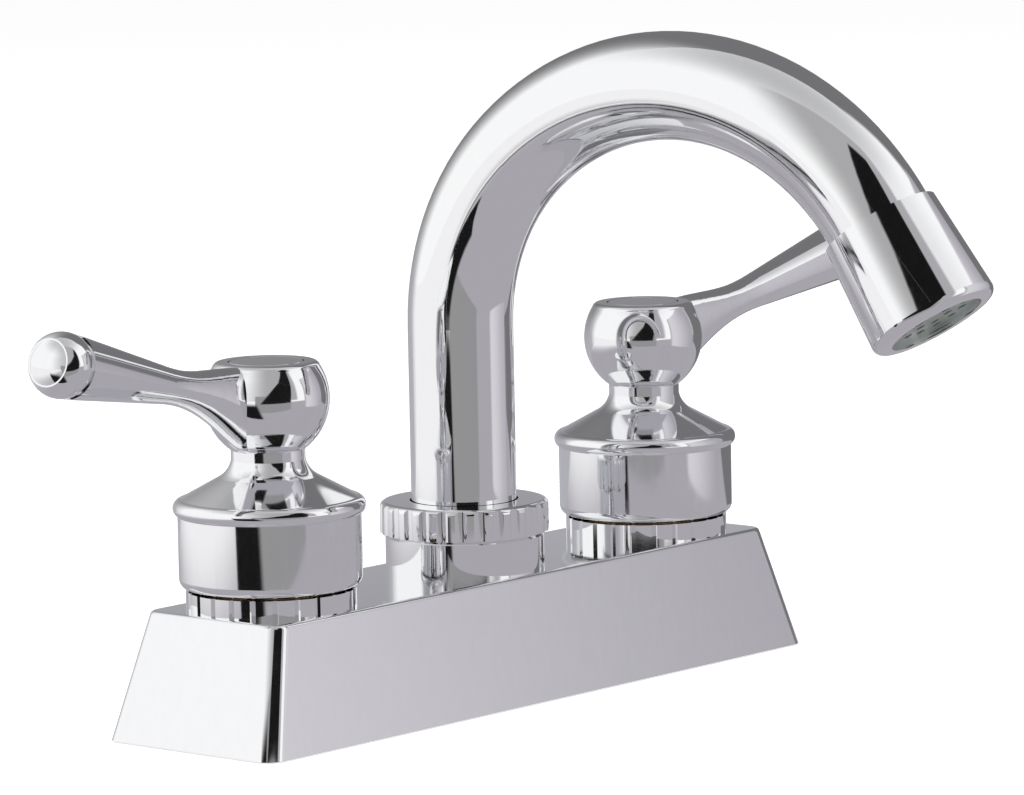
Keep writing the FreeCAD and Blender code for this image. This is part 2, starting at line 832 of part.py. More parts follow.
def outline_second_port(sketch, edge, rim):
    """The port on the other side of the web."""
    first = sketch.GeometryCount
    low = Vector(-edge.value, -rim.value, 0)
    high = Vector(-edge.value, rim.value, 0)
    sketch.addGeometry(Part.LineSegment(low, high))
    sketch.addGeometry(arc_between(high, low, size.disc_port_radius.value))
    sketch.addConstraint(Sketcher.Constraint("Coincident", first, 2, first + 1, 1))
    sketch.addConstraint(Sketcher.Constraint("Coincident", first + 1, 2, first, 1))
    fix_point(sketch, first, 1, -edge, -rim)
    fix_point(sketch, first, 2, -edge, rim)
    held = sketch.addConstraint(Sketcher.Constraint("Radius", first + 1, size.disc_port_radius.value))
    bind(sketch, f"Constraints[{held}]", size.disc_port_radius)


def make_moving_disc(side, x, turn):
    """The upper ceramic disc, with a slot in its back for the stem's driver."""
    body = new_body(f"{side}_moving_disc")
    turned(body, f"{side}_moving_blank",
           ring_outline(0, driver_radius, disc_face, driver_foot))
    slot = new_sketch(body, f"{side}_slot_sketch", "XY_Plane", height=driver_foot)
    rectangle_in(slot, driver_radius + past, size.disc_slot_width / 2)
    pocketed(body, f"{side}_slot", slot, size.disc_slot_depth)
    place(body, x, turn)
    return body


def make_cartridge_body(side, x):
    """The brass cartridge: a sleeve with two windows, a hexagon and a gland for the stem."""
    body = new_body(f"{side}_cartridge_body")
    foot = seat_height + size.sleeve_foot_gap
    sleeve_step = seat_height + size.chamber_height
    turned(body, f"{side}_sleeve", [
        (0, foot),
        (sleeve_lower_radius, foot),
        (sleeve_lower_radius, sleeve_step),
        (sleeve_radius, sleeve_step),
        (sleeve_radius, valve_neck_top),
        (gland_radius, valve_neck_top),
        (gland_radius, gland_top),
        (0, gland_top),
    ])
    hexagon = new_sketch(body, f"{side}_hexagon_sketch", "XY_Plane", height=valve_neck_top)
    padded(body, f"{side}_hexagon", hexagon_in(hexagon, hex_flats), size.hex_height)
    stem_bore = size.stem_radius + size.running_clearance
    turned_out(body, f"{side}_sleeve_bore", [
        (0, foot - past),
        (sleeve_bore_radius, foot - past),
        (sleeve_bore_radius, sleeve_roof),
        (stem_bore, sleeve_roof),
        (stem_bore, gland_top + past),
        (0, gland_top + past),
    ])
    window = new_sketch(body, f"{side}_window_sketch", "XZ_Plane")
    window_half_height = size.disc_thickness / 2 - size.sleeve_window_margin
    rectangle_in(window, size.sleeve_window_width / 2, window_half_height,
                 0, disc_face + size.disc_thickness / 2)
    pocketed(body, f"{side}_windows", window, 4 * sleeve_radius, midplane=True)
    place(body, x)
    return body


def spline_gap(body, label, inner, outer, middle, height, length):
    """One gap of a spline about the direction middle, cut upwards from height."""
    gap = new_sketch(body, label + "_sketch", "XY_Plane", height=height)
    half_angle = quarter_turn / size.spline_teeth + size.spline_play_angle
    low = middle - half_angle
    high = middle + half_angle
    outline(gap, [
        (inner * cosine(low), inner * sine(low)),
        (outer * cosine(low), outer * sine(low)),
        (outer * cosine(high), outer * sine(high)),
        (inner * cosine(high), inner * sine(high)),
    ])
    cut = pocketed(body, label, gap, length, against=True)
    return repeated(body, label + "_spline", cut, size.spline_teeth)


def make_stem(side, x, turn):
    """The stem: driver tongue, O-ring groove, splined top with a tapped hole."""
    body = new_body(f"{side}_stem")
    driver_top = driver_foot + size.driver_thickness
    groove_middle = hex_top
    groove_floor = size.stem_radius - size.stem_groove_depth
    turned(body, f"{side}_stem_form", [
        (0, driver_foot),
        (driver_radius, driver_foot),
        (driver_radius, driver_top),
        (size.stem_radius, driver_top),
        (size.stem_radius, groove_middle - size.stem_groove_width / 2),
        (groove_floor, groove_middle - size.stem_groove_width / 2),
        (groove_floor, groove_middle + size.stem_groove_width / 2),
        (size.stem_radius, groove_middle + size.stem_groove_width / 2),
        (size.stem_radius, gland_top),
        (size.spline_radius, gland_top),
        (size.spline_radius, spline_top),
        (0, spline_top),
    ])
    tongue = new_sketch(body, f"{side}_tongue_sketch", "XY_Plane",
                        height=driver_foot - size.disc_slot_depth + size.running_clearance)
    half_length = driver_radius - size.disc_slot_depth
    rectangle_in(tongue, half_length, size.disc_slot_width / 2 - size.running_clearance)
    padded(body, f"{side}_tongue", tongue, size.disc_slot_depth)
    turned_out(body, f"{side}_stem_tap", [
        (0, spline_top - size.stem_tap_depth),
        (size.stem_tap_radius, spline_top - size.stem_tap_depth),
        (size.stem_tap_radius, spline_top + past),
        (0, spline_top + past),
    ])
    spline_gap(body, f"{side}_stem_gap", size.spline_radius - size.spline_depth,
               size.spline_radius + size.spline_depth, 0,
               gland_top + size.spline_runout, spline_top - gland_top)
    place(body, x, turn)
    return body


def o_ring(label, hole, radius, height):
    """A ring of rubber in a groove: its hole, its outer radius and its height."""
    ring = doc.addObject("Part::Torus", label)
    ring.Label = label
    bind(ring, "Radius1", (hole + radius) / 2)
    bind(ring, "Radius2", (radius - hole) / 2)
    ring.Placement = Placement(Vector(0, 0, number(height)), Rotation())
    bind(ring, "Placement.Base.z", height)
    doc.recompute()
    return ring


def make_stem_o_ring(side, x):
    hole = size.stem_radius - size.stem_groove_depth + size.o_ring_play
    ring = o_ring(f"{side}_stem_o_ring", hole, size.stem_radius - size.o_ring_play, hex_top)
    bind(ring, "Placement.Base.x", x)
    doc.recompute()
    return ring


# Handles

def lever_section(body, label, distance, middle, half_height, half_width):
    """An upright ellipse across the lever arm, at a distance along its sloping axis."""
    along = distance * cosine(size.lever_rise)
    up = lever_height + distance * sine(size.lever_rise)
    sketch = new_sketch(body, label, "YZ_Plane", height=along, slope=-size.lever_rise,
                        turn_axis=Vector(1, 0, 0), rise=up)
    return ellipse_in(sketch, middle, half_height, half_width)


def lever_root(body, side):
    """The root of the arm: upright ellipses that swell towards the head in a cosine curve."""
    waist = size.lever_waist / 2
    steps = 5
    sections = []
    for step in range(steps + 1):
        share = step / steps
        swell = (1 + cosine(2 * quarter_turn * share)) / 2
        middle = -size.lever_root_drop * swell * swell
        half_height = waist + (size.lever_root_height / 2 - waist) * swell
        half_width = waist + (size.lever_root_width / 2 - waist) * swell
        sections.append(lever_section(body, f"{side}_root_{step}", size.lever_waist_at * share,
                                      middle, half_height, half_width))
    lofted(body, f"{side}_lever_root", sections)


def lever_cone(body, side):
    """The arm from its waist to its tip, turned: a cone, a groove, a barrel ring and a dome."""
    waist = size.lever_waist / 2
    cone_start = size.lever_waist_at + size.lever_waist_arc * sine(size.lever_flare)
    start_radius = waist + size.lever_waist_arc * (1 - cosine(size.lever_flare))
    end_radius = start_radius + (size.lever_end_at - cone_start) * tangent(size.lever_flare)
    groove_radius = end_radius - size.knob_groove_depth
    groove_end = size.lever_end_at + size.knob_groove_width
    ring_start = end_radius - size.knob_ring_inset
    ring_end = groove_end + size.knob_ring_width
    ring_end_radius = ring_start - size.knob_ring_taper
    dome = ring_end_radius - size.knob_line_depth
    rise = size.knob_dome_rise
    dome_arc = (dome * dome + rise * rise) / (2 * rise)
    arm_sketch = new_sketch(body, f"{side}_arm_section", "XZ_Plane",
                            slope=size.lever_rise, rise=lever_height)
    turned(body, f"{side}_arm", [
        (size.lever_waist_at, 0),
        (ring_end + rise, 0),
        (ring_end, dome, dome_arc),
        (ring_end, ring_end_radius),
        (groove_end, ring_start, size.knob_ring_arc),
        (groove_end, groove_radius),
        (size.lever_end_at, groove_radius),
        (size.lever_end_at, end_radius),
        (cone_start, start_radius),
        (size.lever_waist_at, waist, -size.lever_waist_arc),
    ], arm_sketch, "H_Axis")


def make_handle(side, x, turn):
    """A handle: bell skirt, neck, round head with a flat top, lever arm and end knob."""
    body = new_body(f"{side}_handle")
    rim = size.skirt_rim_radius
    turned(body, f"{side}_bell", [
        (0, skirt_rim),
        (skirt_radius - rim, skirt_rim),
        (skirt_radius, skirt_rim + rim, rim),
        (skirt_radius, skirt_top),
        (shoulder_radius, shoulder, size.bead_radius),
        (size.cone_top_radius, cone_top),
        (size.neck_radius, neck_foot, -size.neck_fillet),
        (size.neck_radius, neck_end),
        (flat_radius, flat_height, size.head_radius),
        (flat_radius - size.head_edge_rise, head_top, size.head_edge_radius),
        (0, head_top),
    ])
    lever_root(body, side)
    lever_cone(body, side)
    inner = skirt_radius - size.skirt_wall
    turned_out(body, f"{side}_bell_hollow", [
        (0, skirt_rim - past),
        (inner, skirt_rim - past),
        (inner, skirt_top),
        (handle_socket_radius, handle_roof),
        (0, handle_roof),
    ])
    turned_out(body, f"{side}_cap_recess", [
        (0, screw_seat),
        (size.screw_head_radius + size.cap_clearance, screw_seat),
        (size.screw_head_radius + size.cap_clearance, cap_floor),
        (size.cap_radius + size.cap_clearance, cap_floor),
        (size.cap_radius + size.cap_clearance, head_top + past),
        (0, head_top + past),
    ])
    core = size.spline_radius - size.spline_depth + size.running_clearance
    turned_out(body, f"{side}_socket_bore", [
        (0, handle_roof - past),
        (core, handle_roof - past),
        (core, spline_top),
        (size.screw_radius + size.screw_clearance, spline_top),
        (size.screw_radius + size.screw_clearance, screw_seat + past),
        (0, screw_seat + past),
    ])
    spline_gap(body, f"{side}_socket_gap", core - size.spline_depth,
               size.spline_radius + size.running_clearance, 2 * quarter_turn / size.spline_teeth,
               handle_roof - past, spline_top - handle_roof + past)
    place(body, x, turn)
    return body


def make_handle_screw(side, x, turn):
    """The pan head screw that holds the handle on the stem."""
    body = new_body(f"{side}_handle_screw")
    foot = screw_seat - size.screw_length
    turned(body, f"{side}_screw_form", [
        (0, foot),
        (size.screw_radius, foot),
        (size.screw_radius, screw_seat),
        (size.screw_head_radius, screw_seat),
        (size.screw_head_radius, screw_seat + size.screw_head_height / 2),
        (size.screw_radius, screw_seat + size.screw_head_height, size.screw_head_radius),
        (0, screw_seat + size.screw_head_height),
    ])
    place(body, x, turn)
    return body


def make_handle_cap(side, x, turn):
    """The plain button that closes the screw's recess, flush with the flat top."""
    body = new_body(f"{side}_handle_cap")
    top = head_top
    button = turned(body, f"{side}_cap_form", ring_outline(0, size.cap_radius, cap_floor, top))
    bevelled(body, f"{side}_cap_edge", button, size.cap_clearance, lambda edge: lies_at(edge, top))
    place(body, x, turn)
    return body


# Spout

def make_spout_collar():
    """The chrome collar on the spout neck, which clamps the middle of the cover."""
    body = new_body("spout_collar")
    top = size.base_height + size.collar_height
    inner = spout_neck_radius + size.thread_clearance
    ring = turned(body, "collar_ring", ring_outline(inner, collar_radius, size.base_height, top))
    bevelled(body, "collar_edges", ring, size.collar_edge,
             lambda edge: lies_at(edge, top) and edge.BoundBox.XLength > (inner + collar_radius).value)
    return body


def make_spout_nut():
    """The fluted union nut that holds the spout down and lets it turn."""
    body = new_body("spout_nut")
    inner = spout_neck_radius + size.thread_clearance
    eye = size.tube_radius + size.tube_clearance
    edge = size.nut_edge_radius
    turned(body, "nut_ring", [
        (inner, nut_foot),
        (nut_radius, nut_foot),
        (nut_radius, nut_top - edge),
        (nut_radius - edge, nut_top, edge),
        (eye, nut_top),
        (eye, nut_ceiling),
        (inner, nut_ceiling),
    ])
    flute = new_sketch(body, "flute_sketch", "XY_Plane", height=nut_foot - past)
    depth = size.nut_flute_depth
    half_width = size.nut_flute_width / 2
    reach = (half_width * half_width + depth * depth) / (2 * depth)
    circle_in(flute, nut_radius - depth + reach, 0, reach)
    cut = pocketed(body, "flute", flute, size.nut_height + 2 * past, against=True)
    repeated(body, "flutes", cut, size.nut_flutes)
    return body


def make_glide_ring():
    """The nylon ring between the nut and the spout's flange."""
    body = new_body("glide_ring")
    inner = size.tube_radius + size.tube_clearance
    outer = flange_seat_radius - size.running_clearance
    play = size.glide_ring_play
    turned(body, "glide_form", ring_outline(inner, outer, flange_top + play, nut_ceiling - play))
    return body


def make_spout_tail():
    """The brass tail of the spout: flange, two O-ring grooves, and a bush inside the tube."""
    body = new_body("spout_tail")
    foot = flange_seat - size.tail_length
    collar = tube_bore_radius - size.thread_clearance
    turned(body, "tail_form", [
        (size.tail_bore_radius, foot),
        (size.tail_radius, foot),
        (size.tail_radius, flange_seat),
        (flange_radius, flange_seat),
        (flange_radius, flange_top),
        (collar, flange_top),
        (collar, flange_top + size.tail_collar_length),
        (size.tail_bore_radius, flange_top + size.tail_collar_length),
    ])
    floor = size.tail_radius - size.o_ring_thickness - size.o_ring_play
    for name, drop in (("upper", size.upper_o_ring_drop), ("lower", size.lower_o_ring_drop)):
        middle = flange_seat - drop
        half = size.o_ring_groove_width / 2
        turned_out(body, f"{name}_groove",
                   ring_outline(floor, size.tail_radius + past, middle - half, middle + half))
    place(body, 0, spout_turn)
    return body


def make_spout_tube():
    """The spout tube: one straight stretch and two tangent bends, down into the outlet."""
    body = new_body("spout_tube")
    start = flange_top
    straight = start + size.spout_straight
    first = size.first_bend_radius
    second = size.second_bend_radius
    turn = size.first_bend_angle
    join_x = first * (1 - cosine(turn))
    join_z = straight + first * sine(turn)
    end_x = join_x + second * (cosine(turn) - cosine(bend_angle))
    end_z = join_z + second * (sine(bend_angle) - sine(turn))
    tip_x = end_x + size.tube_engagement * sine(bend_angle)
    tip_z = end_z + size.tube_engagement * cosine(bend_angle)
    path = new_sketch(body, "tube_path", "XZ_Plane")
    points = [(0, start), (0, straight), (join_x, join_z), (end_x, end_z), (tip_x, tip_z)]
    at = [Vector(number(point[0]), number(point[1]), 0) for point in points]
    path.addGeometry(Part.LineSegment(at[0], at[1]))
    path.addGeometry(arc_between(at[1], at[2], -first.value))
    path.addGeometry(arc_between(at[2], at[3], -second.value))
    path.addGeometry(Part.LineSegment(at[3], at[4]))
    path.addConstraint(Sketcher.Constraint("Coincident", 0, 2, 1, 2))
    path.addConstraint(Sketcher.Constraint("Coincident", 1, 1, 2, 2))
    path.addConstraint(Sketcher.Constraint("Coincident", 2, 1, 3, 1))
    fix_point(path, 0, 1, *points[0])
    fix_point(path, 0, 2, *points[1])
    fix_point(path, 1, 1, *points[2])
    fix_point(path, 2, 1, *points[3])
    fix_point(path, 3, 2, *points[4])
    for edge, radius in ((1, first), (2, second)):
        held = path.addConstraint(Sketcher.Constraint("Radius", edge, radius.value))
        bind(path, f"Constraints[{held}]", radius)
    wall = new_sketch(body, "tube_wall_sketch", "XY_Plane", height=start)
    circle_in(wall, 0, 0, size.tube_radius)
    circle_in(wall, 0, 0, tube_bore_radius)
    tube = body.newObject("PartDesign::AdditivePipe", "tube_form")
    tube.Profile = wall
    tube.Spine = path
    place(body, 0, spout_turn)
    return body


def make_outlet_cap():
    """The flared outlet housing: a bore for the tube, a seat and a lip for the flow straightener."""
    body = new_body("outlet_cap")
    rim = size.outlet_rim_radius
    slope = (outlet_radius - outlet_top_radius) / size.outlet_length
    turned(body, "outlet_form", [
        (0, 0),
        (outlet_top_radius, 0),
        (outlet_radius - rim * slope, size.outlet_length - rim),
        (outlet_radius - rim, size.outlet_length, rim),
        (0, size.outlet_length),
    ])
    chamber = aerator_radius + size.aerator_clearance
    tube_bore = size.tube_radius + size.thread_clearance
    lip = size.outlet_length - size.outlet_lip_height
    turned_out(body, "outlet_bore", [
        (0, -past),
        (tube_bore, -past),
        (tube_bore, washer_seat),
        (chamber, washer_seat),
        (chamber, lip),
        (outlet_radius - size.outlet_lip - rim, lip),
        (outlet_radius - size.outlet_lip - rim, size.outlet_length + past),
        (0, size.outlet_length + past),
    ])
    place_at_outlet(body)
    return body


def make_aerator_washer():
    """The rubber washer between the tube's end and the flow straightener."""
    body = new_body("aerator_washer")
    turned(body, "washer_ring",
           ring_outline(tube_bore_radius - size.washer_overlap, aerator_radius, washer_seat, aerator_seat))
    place_at_outlet(body)
    return body


def make_aerator_insert():
    """The flow straightener: a cup with a perforated face."""
    body = new_body("aerator_insert")
    face = size.outlet_length - size.outlet_lip_height
    turned(body, "aerator_cup", [
        (aerator_radius - size.aerator_wall, aerator_seat),
        (aerator_radius, aerator_seat),
        (aerator_radius, face),
        (0, face),
        (0, face - size.aerator_face),
        (aerator_radius - size.aerator_wall, face - size.aerator_face),
    ])
    for name, ring, count in (("inner", aerator_ring_radius, size.aerator_inner_holes),
                              ("outer", aerator_outer_ring_radius, size.aerator_outer_holes)):
        hole = new_sketch(body, f"{name}_hole_sketch", "XY_Plane", height=face - size.aerator_face - past)
        circle_in(hole, ring, 0, size.aerator_hole_radius)
        cut = pocketed(body, f"{name}_hole", hole, size.aerator_face + 2 * past, against=True)
        repeated(body, f"{name}_holes", cut, count)
    place_at_outlet(body)
    return body


# Fixing below the deck

def make_shank_washer(side, x):
    """The steel washer under the deck."""
    body = new_body(f"{side}_shank_washer")
    top = -size.deck_thickness
    inner = size.shank_radius + size.cover_hole_clearance
    turned(body, f"{side}_washer_ring",
           ring_outline(inner, size.shank_washer_radius, top - size.shank_washer_thickness, top))
    place(body, x)
    return body


def make_shank_nut(side, x):
    """The brass lock nut under the washer."""
    body = new_body(f"{side}_shank_nut")
    top = -size.deck_thickness - size.shank_washer_thickness
    hexagon = new_sketch(body, f"{side}_nut_sketch", "XY_Plane", height=top - size.shank_nut_height)
    hexagon_in(hexagon, size.shank_nut_flats)
    circle_in(hexagon, 0, 0, size.shank_radius + size.thread_clearance)
    padded(body, f"{side}_lock_nut", hexagon, size.shank_nut_height)
    place(body, x)
    return body


# The whole faucet

pieces = [make_base_cover(), make_base_gasket(), make_spout_hub()]
for side, sign, outward in (("left", -1, 180), ("right", 1, 0)):
    valve_x = sign * half_centres
    handle_turn = outward - sign * size.handle_swing
    pieces += [
        make_valve_body(side, valve_x, outward),
        make_cross_tube(side, outward),
        make_cover_nut(side, valve_x),
        make_seat_seal(side, valve_x),
        make_fixed_disc(side, valve_x),
        make_moving_disc(side, valve_x, handle_turn),
        make_cartridge_body(side, valve_x),
        make_stem(side, valve_x, handle_turn),
        make_stem_o_ring(side, valve_x),
        make_handle(side, valve_x, handle_turn),
        make_handle_screw(side, valve_x, handle_turn),
        make_handle_cap(side, valve_x, handle_turn),
        make_shank_washer(side, valve_x),
        make_shank_nut(side, valve_x),
    ]
upper_ring = o_ring("upper_spout_o_ring", size.tail_radius - size.o_ring_thickness,
                    size.tail_radius - size.o_ring_play / 2, flange_seat - size.upper_o_ring_drop)
lower_ring = o_ring("lower_spout_o_ring", size.tail_radius - size.o_ring_thickness,
                    size.tail_radius - size.o_ring_play / 2, flange_seat - size.lower_o_ring_drop)
pieces += [
    make_spout_collar(),
    make_spout_nut(),
    make_glide_ring(),
    make_spout_tail(),
    upper_ring,
    lower_ring,
    make_spout_tube(),
    make_outlet_cap(),
    make_aerator_washer(),
    make_aerator_insert(),
]
doc.recompute()

# Checks before anything is written

for thing in doc.Objects:
    if "Invalid" in thing.State or "Error" in thing.State:
        raise RuntimeError(f"{thing.Label} failed: {thing.State}")
for piece in pieces:
    if piece.Shape.isNull() or not piece.Shape.isValid():
        raise RuntimeError(f"{piece.Label} has no valid shape")

os.makedirs("parts", exist_ok=True)
for piece in pieces:
    piece.Shape.exportStep(f"parts/{piece.Label}.step")
    print(f"{piece.Label}: {piece.Shape.Volume:.1f} mm3, {len(piece.Shape.Solids)} solid")
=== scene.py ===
# %% [markdown]
# # A centerset bathroom faucet in chrome
# The faucet is one chrome object on a white sheet. Its shapes come from the imported CAD
# model, so this file is about finish and light: it gives every piece its material and builds
# the studio that the chrome reflects. We load the model first.

# %% Load the imported faucet
import bpy
from mathutils import Matrix, Vector

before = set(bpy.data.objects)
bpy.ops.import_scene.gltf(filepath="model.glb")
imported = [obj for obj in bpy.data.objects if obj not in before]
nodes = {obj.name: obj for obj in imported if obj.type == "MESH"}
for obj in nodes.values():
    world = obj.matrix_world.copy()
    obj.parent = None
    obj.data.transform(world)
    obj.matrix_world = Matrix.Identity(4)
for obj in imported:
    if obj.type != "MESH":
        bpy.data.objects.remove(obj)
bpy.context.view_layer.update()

# %% [markdown]
# The photograph was taken from the left front of the faucet with a long lens, a little
# above the spout's middle. The camera's place and turn were solved from the base's edges and
# the round skirts. A turn is written as three directions: right, up, and backwards.

# %% Camera
MM = 0.001
CAMERA_MM = Vector((-844.7, -735.1, 199.5))
FILM_WIDTH = 36.0   # in mm, as the lens
LENS = 224.3

camera = bpy.data.objects.new("camera", bpy.data.cameras.new("camera"))
bpy.context.scene.collection.objects.link(camera)
to_right = Vector((0.6484, -0.7610, -0.0193)).normalized()
backwards = Vector((-0.7530, -0.6449, 0.1304)).normalized()
upwards = backwards.cross(to_right).normalized()
to_right = upwards.cross(backwards)
turn = Matrix((to_right, upwards, backwards)).transposed().to_4x4()
camera.matrix_world = Matrix.Translation(CAMERA_MM * MM) @ turn
camera.data.sensor_width = FILM_WIDTH
camera.data.lens = LENS
camera.data.clip_start = 0.01
camera.data.clip_end = 10.0
bpy.context.scene.camera = camera
print("camera distance in mm:", round(camera.location.length / MM))

# %% [markdown]
# Two helpers serve the whole file. One turns a colour as a designer writes it, in sRGB hex,
# into the linear numbers that Blender's sockets expect. The other adds one node, gives it its
# settings and its plain values, and links what goes into it, so each material reads like a list.

# %% Helpers for colours and nodes
def linear(hex_colour):
    """An sRGB hex colour as a linear one with alpha 1."""
    channels = [int(hex_colour[at:at + 2], 16) / 255 for at in (1, 3, 5)]
    return [c / 12.92 if c <= 0.04045 else ((c + 0.055) / 1.055) ** 2.4 for c in channels] + [1.0]


def add_node(tree, kind, inputs=None, **settings):
    """One node: its settings, then its inputs, each a value or the output that feeds it."""
    node = tree.nodes.new(kind)
    for name, value in settings.items():
        setattr(node, name, value)
    for name, value in (inputs or {}).items():
        if isinstance(value, bpy.types.NodeSocket):
            tree.links.new(value, node.inputs[name])
        else:
            node.inputs[name].default_value = value
    return node


def new_material(name):
    """An empty material with its output node, and the tree to fill."""
    material = bpy.data.materials.new(name)
    material.use_nodes = True
    material.node_tree.nodes.clear()
    return material, material.node_tree


def finish_material(tree, surface):
    """Link the shader to the output."""
    output = tree.nodes.new("ShaderNodeOutputMaterial")
    tree.links.new(surface, output.inputs["Surface"])


print("white is", linear("#FFFFFF"))

# %% [markdown]
# **Chrome plate.** The visible metal is brass and zinc castings, polished, then plated with
# nickel and a very thin bright chrome. The eye gets a mirror with a slightly cool grey tint.
# Hand polishing leaves waves about 10 mm long and only microns deep, which bend the edges of
# reflections, and fine wiping marks that soften them here and there. Both are procedural:
# noise in object space, in real millimetres, drives a faint bump and the roughness.

# %% Chrome plate
MARK_SCALE = 650.0   # the wiping marks are about 1.5 mm across


def chrome(name, tint, wave_mm, wave_depth, low_gloss, high_gloss):
    """Polished chrome plate: a mirror whose surface waves a little and varies in roughness."""
    material, tree = new_material(name)
    place = add_node(tree, "ShaderNodeTexCoord").outputs["Object"]
    waves = add_node(tree, "ShaderNodeTexNoise",
                     {"Vector": place, "Scale": 1000 / wave_mm, "Detail": 1.0, "Roughness": 0.4})
    # wiping marks: noise drawn out along the height
    stretch = add_node(tree, "ShaderNodeMapping", {"Vector": place, "Scale": (1.0, 1.0, 0.35)})
    marks = add_node(tree, "ShaderNodeTexNoise",
                     {"Vector": stretch.outputs["Vector"], "Scale": MARK_SCALE, "Detail": 3.0})
    gloss = add_node(tree, "ShaderNodeMapRange",
                     {"Value": marks.outputs["Fac"], "From Min": 0.35, "From Max": 0.75,
                      "To Min": low_gloss, "To Max": high_gloss})
    bump = add_node(tree, "ShaderNodeBump",
                    {"Height": waves.outputs["Fac"], "Strength": 1.0, "Distance": wave_depth * MM})
    cool = add_node(tree, "ShaderNodeMixRGB",
                    {"Fac": marks.outputs["Fac"], "Color1": linear(tint),
                     "Color2": linear("#F8F8F9")})
    shader = add_node(tree, "ShaderNodeBsdfPrincipled",
                      {"Base Color": cool.outputs["Color"], "Metallic": 1.0,
                       "Roughness": gloss.outputs["Result"], "Normal": bump.outputs["Normal"]})
    finish_material(tree, shader.outputs["BSDF"])
    return material


# the cast base waves more than the turned and drawn pieces
cast_chrome = chrome("polished_chrome_on_casting", "#F3F4F6", wave_mm=14.0, wave_depth=0.012,
                     low_gloss=0.045, high_gloss=0.09)
turned_chrome = chrome("polished_chrome_on_turned_brass", "#F5F6F7", wave_mm=11.0,
                       wave_depth=0.005, low_gloss=0.03, high_gloss=0.07)
tube_chrome = chrome("polished_chrome_on_drawn_tube", "#F5F6F7", wave_mm=16.0,
                     wave_depth=0.006, low_gloss=0.03, high_gloss=0.06)
print("chrome finishes:", [m.name for m in (cast_chrome, turned_chrome, tube_chrome)])

# %% [markdown]
# **Brass, copper and steel.** The water way is turned from brass bar and left bare, so it is
# a warm yellow with fine lathe lines round it. The lines are rings a few hundredths of a
# millimetre apart; here they are drawn 0.4 mm apart so that they can be seen. The copper
# tubes are drawn and brazed, which leaves them duller, with darker patches of oxide.

# %% Bare metals
def turned_metal(name, light_tint, dark_tint, roughness, line_mm, patch_mm):
    """A bare machined metal: fine lines along its height, and patches of dulled surface."""
    material, tree = new_material(name)
    place = add_node(tree, "ShaderNodeTexCoord").outputs["Object"]
    # noise squeezed along Z gives thin level lines, as a lathe tool leaves
    squeeze = add_node(tree, "ShaderNodeMapping",
                       {"Vector": place, "Scale": (20.0, 20.0, 1000 / line_mm)})
    lines = add_node(tree, "ShaderNodeTexNoise",
                     {"Vector": squeeze.outputs["Vector"], "Scale": 1.0, "Detail": 2.0})
    patches = add_node(tree, "ShaderNodeTexNoise",
                       {"Vector": place, "Scale": 1000 / patch_mm, "Detail": 4.0})
    tarnish = add_node(tree, "ShaderNodeMapRange",
                       {"Value": patches.outputs["Fac"], "From Min": 0.4, "From Max": 0.75})
    colour = add_node(tree, "ShaderNodeMixRGB",
                      {"Fac": tarnish.outputs["Result"], "Color1": linear(light_tint),
                       "Color2": linear(dark_tint)})
    gloss = add_node(tree, "ShaderNodeMapRange",
                     {"Value": patches.outputs["Fac"], "From Min": 0.3, "From Max": 0.8,
                      "To Min": roughness - 0.06, "To Max": roughness + 0.12})
    bump = add_node(tree, "ShaderNodeBump",
                    {"Height": lines.outputs["Fac"], "Strength": 0.6, "Distance": 0.03 * MM})
    shader = add_node(tree, "ShaderNodeBsdfPrincipled",
                      {"Base Color": colour.outputs["Color"], "Metallic": 1.0,
                       "Roughness": gloss.outputs["Result"], "Normal": bump.outputs["Normal"]})
    finish_material(tree, shader.outputs["BSDF"])
    return material


bare_brass = turned_metal("turned_brass_bare", "#E3C37C", "#B08A48", roughness=0.26,
                          line_mm=0.4, patch_mm=9.0)
copper = turned_metal("drawn_copper_tube", "#D98E6C", "#8E4B34", roughness=0.34,
                      line_mm=1.6, patch_mm=6.0)
zinc_steel = turned_metal("zinc_plated_steel", "#C9CDD2", "#8F959B", roughness=0.30,
                          line_mm=0.5, patch_mm=5.0)
print("bare metals:", bare_brass.name, copper.name, zinc_steel.name)

# %% [markdown]
# **Ceramic, plastics and rubber.** The valve discs are sintered alumina, ground flat: cream
# white with a silky gloss. The glide ring is natural nylon, the flow straightener is moulded
# acetal, the seals are black nitrile rubber and the gasket is dark closed-cell foam. None of
# these is a metal. Each gets its own grain: speckle for ceramic, faint flow for plastic,
# dust for rubber, and cells about 0.5 mm across, drawn at 0.8 mm, for the foam.

# %% Ceramic, plastics and rubber
def moulded(name, main_tint, other_tint, gloss_range, grain_mm, relief_mm, ior):
    """A non-metal with a grain: two close tints, a range of roughness and a little relief."""
    low_gloss, high_gloss = gloss_range
    material, tree = new_material(name)
    place = add_node(tree, "ShaderNodeTexCoord").outputs["Object"]
    grain = add_node(tree, "ShaderNodeTexNoise",
                     {"Vector": place, "Scale": 1000 / grain_mm, "Detail": 4.0, "Roughness": 0.6})
    colour = add_node(tree, "ShaderNodeMixRGB",
                      {"Fac": grain.outputs["Fac"], "Color1": linear(main_tint),
                       "Color2": linear(other_tint)})
    gloss = add_node(tree, "ShaderNodeMapRange",
                     {"Value": grain.outputs["Fac"], "From Min": 0.3, "From Max": 0.7,
                      "To Min": low_gloss, "To Max": high_gloss})
    bump = add_node(tree, "ShaderNodeBump",
                    {"Height": grain.outputs["Fac"], "Strength": 0.7, "Distance": relief_mm * MM})
    shader = add_node(tree, "ShaderNodeBsdfPrincipled",
                      {"Base Color": colour.outputs["Color"], "Roughness": gloss.outputs["Result"],
                       "IOR": ior, "Normal": bump.outputs["Normal"]})
    finish_material(tree, shader.outputs["BSDF"])
    return material


